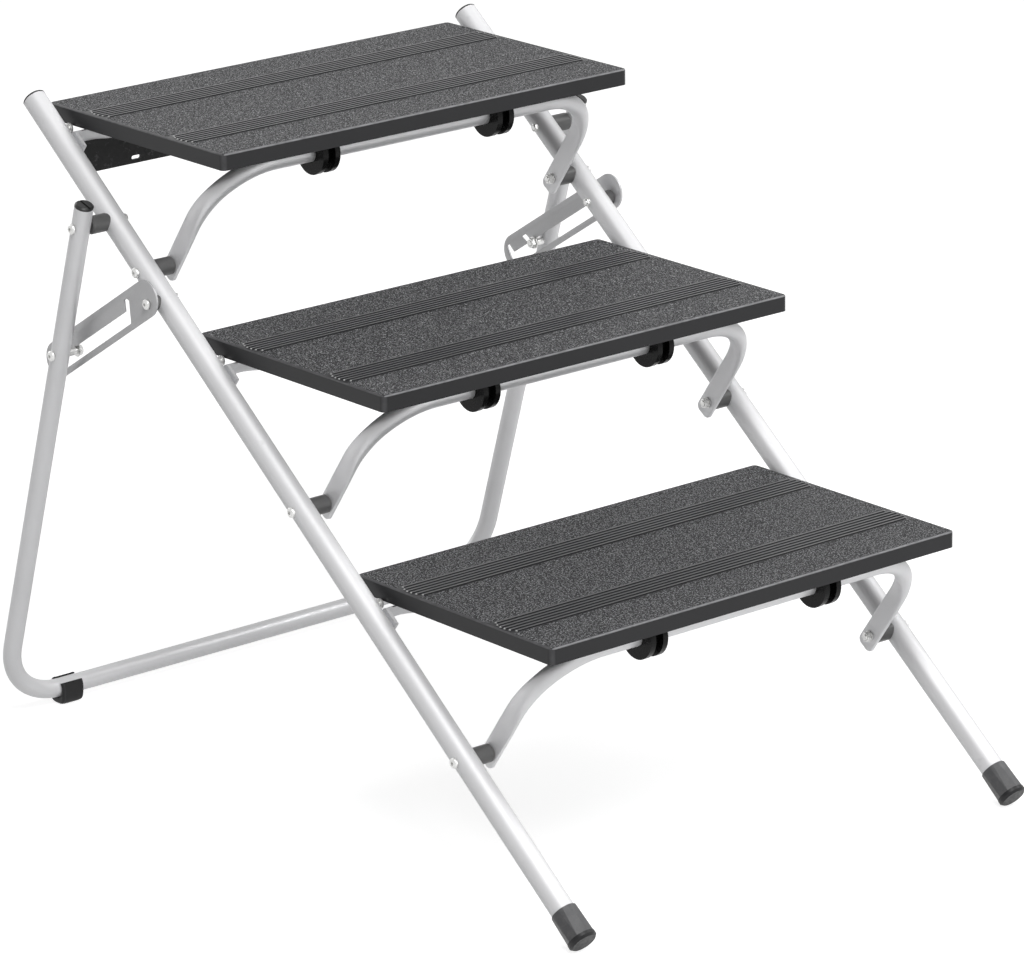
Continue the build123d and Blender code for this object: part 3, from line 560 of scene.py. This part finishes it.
def nut_skin(place, side, width, height):
    """Hexagon nut standing on its place: a hexagon's reach cut by a shallow cone at both ends, round a bore."""
    flat = np.ones(AROUND_BOLT)
    reach = hexagon(full_turn(AROUND_BOLT)) * width / 2
    face = width / 2 * NUT_FACE_SHARE
    chamfer = (width / 2 * NUT_CORNER_SHARE - face) * CHAMFER_SLOPE
    rise = np.linspace(0.0, 1.0, CHAMFER_ROWS)
    cone = [np.minimum(reach, face + chamfer * share / CHAMFER_SLOPE) for share in rise]
    bore, bore_mouth = flat * NUT_BORE, flat * (NUT_BORE + BORE_BEVEL_WIDTH)
    heights = np.concatenate([
        [BORE_BEVEL_DEPTH, 0.0], chamfer * rise,
        height - chamfer * rise[::-1], [height, height - BORE_BEVEL_DEPTH],
    ])
    radii = np.array([bore, bore_mouth, *cone, *cone[::-1], bore_mouth, bore])
    return ring_stack(about_x(place, side, heights, radii), looped=True)


def side_span(node):
    """Least and greatest distance of a CAD node from the middle plane X = 0."""
    mesh = frame["nodes"][node].data
    flat = np.empty(len(mesh.vertices) * 3)
    mesh.vertices.foreach_get("co", flat)
    away = np.abs(flat[::3])
    return float(away.min()), float(away.max())


def places_of(node, width, is_round):
    """The (y, z) of a fastener group: one place, or one a step run and rise after another. A round head reaches
    half its width from its place, a hexagon half of what the steps leave of its group's box."""
    low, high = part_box(node)
    steps = round((high[1] - low[1] - width) / STEP_RUN)
    if is_round:
        reach_y = reach_z = width / 2
    else:
        reach_y = (high[1] - low[1] - steps * STEP_RUN) / 2
        reach_z = (high[2] - low[2] - steps * STEP_RISE) / 2
    first_y, first_z = low[1] + reach_y, low[2] + reach_z
    return [(first_y + index * STEP_RUN, first_z + index * STEP_RISE) for index in range(steps + 1)]


def make_bolts(node, body):
    """Button-head bolts of one group, their heads outside."""
    tail, top = side_span(node)
    face = top - HEAD_HEIGHT
    skins = [
        bolt_skin((side * face, y, z), side, face - tail)
        for y, z in places_of(node, 2 * HEAD_RADIUS, True) for side in (-1, 1)
    ]
    add_piece(node + "_turned", skins, body, zinc, (node,))


def make_cross_screws():
    """The cross tubes' screws, their heads towards the middle."""
    node = "cross_tube_screws"
    top, tail = side_span(node)
    face = top + HEAD_HEIGHT
    skins = [
        bolt_skin((side * face, y, z), -side, tail - face)
        for y, z in places_of(node, 2 * HEAD_RADIUS, True) for side in (-1, 1)
    ]
    add_piece(node + "_turned", skins, "side_rails", zinc, (node,))


def make_nuts(node, width, body):
    """Chamfered hexagon nuts of one group."""
    inner, outer = side_span(node)
    skins = [
        nut_skin((side * inner, y, z), side, width, outer - inner)
        for y, z in places_of(node, width, False) for side in (-1, 1)
    ]
    add_piece(node + "_cut", skins, body, zinc, (node,), NUT_SHARP)


def make_lock_nut(side_name, side):
    """One lock nut with the threaded end that runs in its plate's slot."""
    node = side_name + "_lock_nut"
    inner, outer = side_span(node)
    low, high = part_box(node)
    y, z = (low[1] + high[1]) / 2, (low[2] + high[2]) / 2
    skins = [
        nut_skin((side * (inner + LOCK_STUB_OUT), y, z), side, LOCK_NUT_WIDTH, LOCK_NUT_HEIGHT),
        stub_skin((side * inner, y, z), side, outer - inner),
    ]
    add_piece(node + "_cut", skins, node, zinc, (node,), NUT_SHARP)


# Bows
BOW_RADIUS = 8.0 * MM
BOW_BEND = 65.0 * MM
BOW_FLAT_HALF_WIDTH = 9.5 * MM
BOW_FLAT_HALF_THICKNESS = 2.25 * MM
BOW_END_REACH = 14.5 * MM
BOW_END_CORNER = 5.0 * MM
BOW_LEG_X = 221.35 * MM
AROUND_BOW = 40
FLAT_SHARE = 0.60
FLARE_SHARE = 0.62
FLAT_ORDER = 5.0
ROUND_ORDER = 2.0
THICKENING = 1.4
FLARE_DISH = 0.42
TONGUE_DISH = 0.12
DISH_WIDTH = 0.55
END_ROWS, TONGUE_ROWS, LEG_ROWS, BEND_ROWS, BAR_ROWS = 6, 8, 19, 25, 9


def after(start, end, count):
    """Evenly spaced values that leave out the start and hold the end."""
    return np.linspace(start, end, count + 1)[1:]


def bow_line(leg_x, rise):
    """Half of the bow's centre line, up the leg, round a quarter circle and along the bar to the middle:
    its places, headings and run from the pivot."""
    straight = rise - BOW_BEND
    leg = np.concatenate([
        -BOW_END_REACH + BOW_END_CORNER * (1 - np.cos(after(0.0, 1.0, END_ROWS) * math.pi / 2)),
        after(-BOW_END_REACH + BOW_END_CORNER, straight / 2, TONGUE_ROWS),
        after(straight / 2, straight, LEG_ROWS),
    ])
    turn = after(0.0, math.pi / 2, BEND_ROWS)
    bar = after(leg_x - BOW_BEND, 0.0, BAR_ROWS)
    across = np.concatenate([np.full(len(leg), leg_x), leg_x - BOW_BEND * (1 - np.cos(turn)), bar])
    up = np.concatenate([leg, straight + BOW_BEND * np.sin(turn), np.full(len(bar), rise)])
    heading = np.concatenate([np.zeros(len(leg)), turn, np.full(len(bar), math.pi / 2)])
    bend_end = straight + BOW_BEND * math.pi / 2
    run = np.concatenate([leg, straight + BOW_BEND * turn, bend_end + leg_x - BOW_BEND - bar])
    return across, up, heading, run


def make_bow(name, pivot, bar):
    """Bent tube whose ends are pressed flat: a superellipse carried along the line, from a circle at the bend
    to a wide thin oval with a hollow along its middle at the pivots, its last corners on quarter circles."""
    rise = math.hypot(bar[1] - pivot[1], bar[2] - pivot[2])
    climb = np.array([0.0, (bar[1] - pivot[1]) / rise, (bar[2] - pivot[2]) / rise])
    facing = np.array([0.0, -climb[2], climb[1]])
    across, up, heading, run = bow_line(BOW_LEG_X, rise)
    straight = rise - BOW_BEND
    roundness = smooth_share(run, straight * FLAT_SHARE, straight + BOW_BEND * FLARE_SHARE)
    corner = np.clip(BOW_END_CORNER - BOW_END_REACH - run, 0.0, BOW_END_CORNER)
    half_width = BOW_FLAT_HALF_WIDTH + (BOW_RADIUS - BOW_FLAT_HALF_WIDTH) * roundness
    half_width -= BOW_END_CORNER - np.sqrt(BOW_END_CORNER ** 2 - corner ** 2)
    thickening = (BOW_RADIUS - BOW_FLAT_HALF_THICKNESS) * roundness ** THICKENING
    half_thickness = BOW_FLAT_HALF_THICKNESS + thickening
    order = FLAT_ORDER + (ROUND_ORDER - FLAT_ORDER) * roundness
    wide, thick = superellipse(full_turn(AROUND_BOW), (2.0 / order)[:, None])
    dish = FLARE_DISH * 4 * roundness * (1 - roundness) + TONGUE_DISH * (1 - roundness)
    thick = thick * (1 - dish[:, None] * np.exp(-(wide / DISH_WIDTH) ** 2))
    inward = np.stack([np.cos(heading), np.sin(heading)], -1)
    out_x = across[:, None] + half_thickness[:, None] * thick * inward[:, :1]
    out_up = up[:, None] + half_thickness[:, None] * thick * inward[:, 1:]
    out_face = half_width[:, None] * wide
    right = (
        np.array(pivot)[None, None, :] * np.array([0.0, 1.0, 1.0])
        + out_x[..., None] * np.array([1.0, 0.0, 0.0])
        + out_up[..., None] * climb
        + out_face[..., None] * facing
    )
    left = right[::-1][1:] * np.array([-1.0, 1.0, 1.0])
    skin = ring_stack(np.concatenate([right, left]))
    add_piece(name + "_bow_tube", [skin], name + "_bow", bow_silver_painted_light, (name + "_bow",))


# Rear feet
FOOT_INNER = 8.8 * MM
FOOT_OUTER = 10.95 * MM
FOOT_SOLE = 15.75 * MM
FOOT_HALF_LENGTH = 12.0 * MM
FOOT_GAP = (68.0, 140.0)
FOOT_ROUNDING = 0.4
FOOT_PANEL = 0.5 * MM
FOOT_LIP = math.radians(9.0)
FOOT_LIP_SHARE = 0.3
FOOT_ORDER = 4
FOOT_ROWS, AROUND_FOOT = 97, 56
PANEL_ENDS = (0.72, 0.84)
PANEL_RIM = (0.3, 0.9)
PANEL_FOOT = (-0.92, -0.75)
FOOT_SHARP = 50.0


def make_rear_foot(side_name):
    """Rubber saddle round the bar, open at the upper front: its outer reach is a circle above the bar's middle
    and a superellipse, (|cos t| / a)^4 + (|sin t| / b)^4 = 1 / r^4, below it. It has sunk panels, rounded lips
    and rounded ends."""
    node = side_name + "_rear_foot"
    low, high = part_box(node)
    bar_y, bar_z = high[1] - FOOT_OUTER, FOOT_SOLE
    turn = np.radians(np.linspace(FOOT_GAP[1], FOOT_GAP[0] + 360.0, FOOT_ROWS))[:, None]
    lengthwise, depthwise = superellipse(full_turn(AROUND_FOOT)[None, :], FOOT_ROUNDING)
    across, down = np.abs(np.cos(turn) / FOOT_OUTER), np.abs(np.sin(turn) / FOOT_SOLE)
    sole = (across ** FOOT_ORDER + down ** FOOT_ORDER) ** (-1 / FOOT_ORDER)
    lip = np.clip(np.minimum(turn - turn[0], turn[-1] - turn) / FOOT_LIP, 0.0, 1.0)
    wall = np.where(np.sin(turn) < 0, sole, FOOT_OUTER) - FOOT_INNER
    wall = wall * (FOOT_LIP_SHARE + (1 - FOOT_LIP_SHARE) * np.sqrt(1 - (1 - lip) ** 2))
    off_ends = 1 - smooth_share(np.abs(lengthwise), *PANEL_ENDS)
    off_sole = smooth_share(np.sin(turn), *PANEL_FOOT)
    panel = FOOT_PANEL * off_ends * smooth_share(depthwise, *PANEL_RIM) * off_sole * lip
    radius = FOOT_INNER + wall * (depthwise + 1) / 2 - panel
    x = (low[0] + high[0]) / 2 + FOOT_HALF_LENGTH * lengthwise + 0 * turn
    rings = np.stack([x, bar_y + radius * np.cos(turn), bar_z + radius * np.sin(turn)], -1)
    skin = ring_stack(rings)
    add_piece(node + "_saddle", [skin], "rear_frame", foot_rubber, (node,), FOOT_SHARP)


# Grip strip ends
PIP_RADIUS = 1.15 * MM
PIP_HEIGHT = 0.9 * MM
PIP_SKIRT = 0.4 * MM
PIP_OFFSET = 0.2 * MM
AROUND_PIP = 14
PIP_ROWS = 5


def pip_skin(place):
    """Small dome: the upper half of a sphere squeezed in height, on a short skirt."""
    turn = full_turn(AROUND_PIP)
    lift = np.linspace(0.0, math.pi / 2, PIP_ROWS + 1)[:-1]
    radii = np.concatenate([[PIP_RADIUS], PIP_RADIUS * np.cos(lift)])
    heights = np.concatenate([[-PIP_SKIRT], PIP_HEIGHT * np.sin(lift)])
    rings = np.stack([
        place[0] + radii[:, None] * np.cos(turn), place[1] + radii[:, None] * np.sin(turn),
        np.broadcast_to((place[2] + heights)[:, None], (len(heights), len(turn))),
    ], -1)
    return ring_stack(rings)


def make_pips(step_name):
    """A row of small glossy pips where the ribs of both grip strips end; their light grey is a painted
    highlight on the rib ends. The strips end in half ellipses: a rib ends earlier by the draw-in times 1 less
    the square root of
    1 less its share squared."""
    low, high = (np.array(corner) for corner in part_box(step_name + "_tread"))
    deck = float(high[2]) - RIB_HEIGHT
    half_count = (RIB_COUNT - 1) / 2
    skins = []
    for strip_y in (low[1] + STRIP_INSET, high[1] - STRIP_INSET):
        for index in range(RIB_COUNT):
            offset = index - half_count
            share = offset / (half_count + 1)
            draw_in = RIB_DRAW_IN * (1 - math.sqrt(1 - share * share))
            end = high[0] - STRIP_END_GAP - draw_in + PIP_OFFSET
            for side in (-1, 1):
                skins.append(pip_skin((side * end, strip_y + offset * RIB_PITCH, deck)))
    add_piece(step_name + "_grip_pips", skins, step_name + "_tread", pip_painted_highlight)


# Lock plates
PLATE_EASE = 0.35 * MM
PLATE_MERGE = 0.001 * MM
PLATE_FLAT = math.radians(0.5)
PLATE_RIM = math.radians(60.0)
PLATE_SHARP = math.radians(50.0)


def make_eased_plate(node):
    """The lock plate's own outline with its stamped edges eased by a small round."""
    mesh = frame["nodes"][node].data.copy()
    mesh.name = node + "_eased"
    work = bmesh.new()
    work.from_mesh(mesh)
    bmesh.ops.remove_doubles(work, verts=work.verts, dist=PLATE_MERGE)
    bmesh.ops.dissolve_limit(work, angle_limit=PLATE_FLAT, verts=work.verts, edges=work.edges)
    rims = [edge for edge in work.edges if len(edge.link_faces) == 2 and edge.calc_face_angle() > PLATE_RIM]
    bmesh.ops.bevel(work, geom=rims, offset=PLATE_EASE, offset_type="OFFSET", segments=2, profile=0.5,
                    affect="EDGES", clamp_overlap=True)
    bmesh.ops.recalc_face_normals(work, faces=work.faces)
    work.to_mesh(mesh)
    work.free()
    mesh.polygons.foreach_set("use_smooth", np.ones(len(mesh.polygons), bool))
    mesh.set_sharp_from_angle(angle=PLATE_SHARP)
    plate = bpy.data.objects.new(node + "_eased", mesh)
    bpy.context.scene.collection.objects.link(plate)
    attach(plate, node)
    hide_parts(node)


# Stage
FLOOR_HALF = 6.0
FLOOR_GLOW = 0.82
SURROUNDINGS = 0.15
# Name, place, aim, width in metres and power in watts
SOFTBOXES = (
    ("key_light", (-1.1, -2.4, 3.8), (0.0, 0.0, 0.3), 2.0, 122.0),
    ("front_light", (0.9, -3.8, 0.9), (0.0, 0.0, 0.3), 1.6, 24.0),
    ("side_light", (2.5, -1.3, 2.7), (0.0, 0.2, 0.1), 1.6, 46.0),
    ("back_light", (-0.4, 3.6, 1.6), (0.0, 0.0, 0.3), 1.8, 26.0),
)


def make_stage():
    """Pale floor that the camera sees as white, and keeps the shadow."""
    corners_of_floor = [
        (x * FLOOR_HALF, y * FLOOR_HALF, 0.0) for x, y in ((-1, -1), (1, -1), (1, 1), (-1, 1))
    ]
    mesh = bpy.data.meshes.new("floor")
    mesh.from_pydata(corners_of_floor, [], [(0, 1, 2, 3)])
    floor = bpy.data.objects.new("floor", mesh)
    bpy.context.scene.collection.objects.link(floor)
    finish = Finish("white_floor", (0.50, 0.50, 0.50), 0.9, gloss=0.0)
    finish.use("Base Color", finish.mix(finish.noise(2.0), (0.49, 0.49, 0.49), (0.51, 0.51, 0.51)))
    path = finish.nodes.new("ShaderNodeLightPath")
    seen = finish.math("MAXIMUM", path.outputs["Is Camera Ray"], path.outputs["Is Transmission Ray"])
    seen_or_mirrored = finish.math("MAXIMUM", seen, path.outputs["Is Glossy Ray"])
    finish.shader.inputs["Emission Color"].default_value = (1.0, 1.0, 1.0, 1.0)
    finish.use("Emission Strength", finish.math("MULTIPLY", seen_or_mirrored, FLOOR_GLOW))
    mesh.materials.append(finish.material)


def make_world():
    """Plain white surroundings: white to the camera and in reflections, soft grey as light."""
    world = bpy.data.worlds.new("studio")
    world.use_nodes = True
    bpy.context.scene.world = world
    nodes, links = world.node_tree.nodes, world.node_tree.links
    background = nodes["Background"]
    background.inputs["Color"].default_value = (1.0, 1.0, 1.0, 1.0)
    path = nodes.new("ShaderNodeLightPath")
    seen = path.outputs["Is Camera Ray"]
    for ray in ("Is Transmission Ray", "Is Glossy Ray"):
        either = nodes.new("ShaderNodeMath")
        either.operation = "MAXIMUM"
        links.new(seen, either.inputs[0])
        links.new(path.outputs[ray], either.inputs[1])
        seen = either.outputs[0]
    strength = nodes.new("ShaderNodeMapRange")
    strength.inputs["To Min"].default_value = SURROUNDINGS
    strength.inputs["To Max"].default_value = 1.0
    links.new(seen, strength.inputs["Value"])
    links.new(strength.outputs[0], background.inputs["Strength"])


def add_softbox(name, place, aim, size, power):
    """Square area lamp that looks at a point."""
    lamp = bpy.data.lights.new(name, "AREA")
    lamp.shape = "SQUARE"
    lamp.size = size
    lamp.energy = power
    holder = bpy.data.objects.new(name, lamp)
    bpy.context.scene.collection.objects.link(holder)
    facing = Vector(aim) - Vector(place)
    holder.location = place
    holder.rotation_euler = facing.to_track_quat("-Z", "Y").to_euler()


# Camera
CAMERA_PLACE = (-2.9955, -3.6778, 1.7859)
CAMERA_AZIMUTH = math.radians(39.58)
CAMERA_DIP = math.radians(18.275)
CAMERA_ROLL = math.radians(-0.94)
IMAGE_WIDTH, IMAGE_HEIGHT = 1024, 959
FOCAL_PIXELS = 5519.0
MIDDLE_PIXEL = (543.7, 528.8)
SENSOR_WIDTH = 36.0
FARTHEST = 50.0


def make_camera():
    """Long lens at the photograph's place, turned by its azimuth, dip and roll."""
    camera = bpy.data.cameras.new("photo_camera")
    camera.sensor_width = SENSOR_WIDTH
    camera.lens = FOCAL_PIXELS / IMAGE_WIDTH * SENSOR_WIDTH
    camera.shift_x = (IMAGE_WIDTH / 2 - MIDDLE_PIXEL[0]) / IMAGE_WIDTH
    camera.shift_y = (MIDDLE_PIXEL[1] - IMAGE_HEIGHT / 2) / IMAGE_WIDTH
    camera.clip_end = FARTHEST
    holder = bpy.data.objects.new("photo_camera", camera)
    bpy.context.scene.collection.objects.link(holder)
    aim = Vector((
        math.sin(CAMERA_AZIMUTH) * math.cos(CAMERA_DIP),
        math.cos(CAMERA_AZIMUTH) * math.cos(CAMERA_DIP),
        -math.sin(CAMERA_DIP),
    ))
    upright = aim.to_track_quat("-Z", "Y").to_matrix().to_4x4()
    roll = Matrix.Rotation(CAMERA_ROLL, 4, "Z")
    holder.matrix_world = Matrix.Translation(CAMERA_PLACE) @ upright @ roll
    bpy.context.scene.camera = holder


for group in ("bow_pivot_bolts", "frame_pivot_bolts", "plate_pivot_bolts"):
    make_bolts(group, "side_rails")
make_bolts("lock_bolts", "rear_frame")
make_cross_screws()
make_nuts("bow_pivot_nuts", BOW_NUT_WIDTH, "side_rails")
make_nuts("frame_pivot_nuts", RAIL_NUT_WIDTH, "side_rails")
make_nuts("plate_pivot_nuts", RAIL_NUT_WIDTH, "side_rails")
for side_name, side in SIDES:
    make_lock_nut(side_name, side)
    make_rear_foot(side_name)
    make_eased_plate(side_name + "_lock_plate")
for step_name in STEP_NAMES:
    pivot, bar = (joints[step_name + joint]["pos_m"] for joint in ("_bow_fold", "_tread_tilt"))
    make_bow(step_name, pivot, bar)
    make_pips(step_name)

make_stage()
make_world()
for softbox in SOFTBOXES:
    add_softbox(*softbox)
make_camera()

bpy.context.scene.view_settings.view_transform = "Standard"
